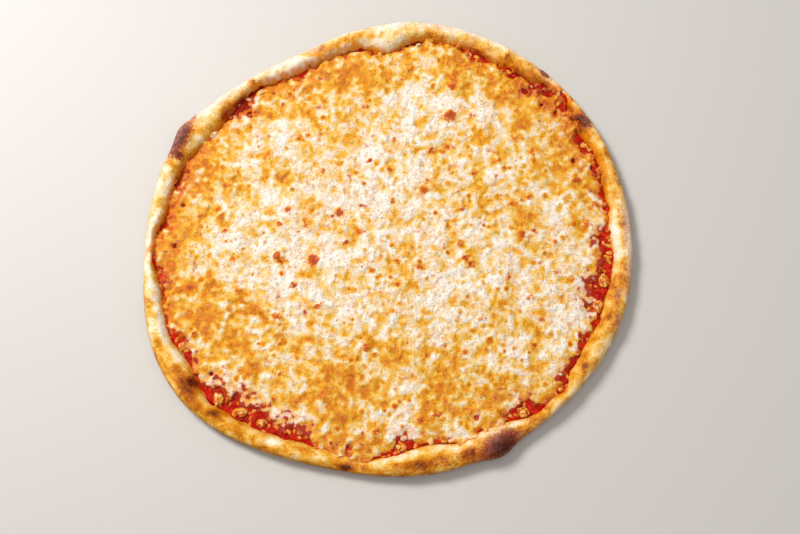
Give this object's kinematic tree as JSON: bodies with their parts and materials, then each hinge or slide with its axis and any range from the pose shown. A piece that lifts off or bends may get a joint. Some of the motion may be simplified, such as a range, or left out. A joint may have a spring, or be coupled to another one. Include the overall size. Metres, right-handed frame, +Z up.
{
  "type": "cheese pizza",
  "caption": "Large round thin-crust cheese pizza: an uneven raised rim of baked dough round tomato sauce and a sheet of melted, blistered cheese, lying flat.",
  "frame": {"origin": "centre of the flat underside of the dough, in the middle of the pizza's box seen from above", "axes": "+Z up through the thin way of the pizza, +X to the right and +Y away from the viewer as the pizza is shown"},
  "size_m": [0.414, 0.399, 0.0174],
  "materials": {
    "crust": "baked dough: dry and matt, cream to golden brown, charred at its blisters",
    "sauce": "cooked tomato sauce, wet and dark red",
    "cheese": "melted cheese, cream to orange with an oily gloss and toasted blisters"
  },
  "bodies": {
    "root": {"crust": "crust", "sauce": "sauce", "cheese": "cheese", "curd_1": "cheese", "curd_2": "cheese", "curd_3": "cheese", "curd_4": "cheese", "curd_5": "cheese", "curd_6": "cheese", "curd_7": "cheese", "curd_8": "cheese"}
  },
  "joints": []
}
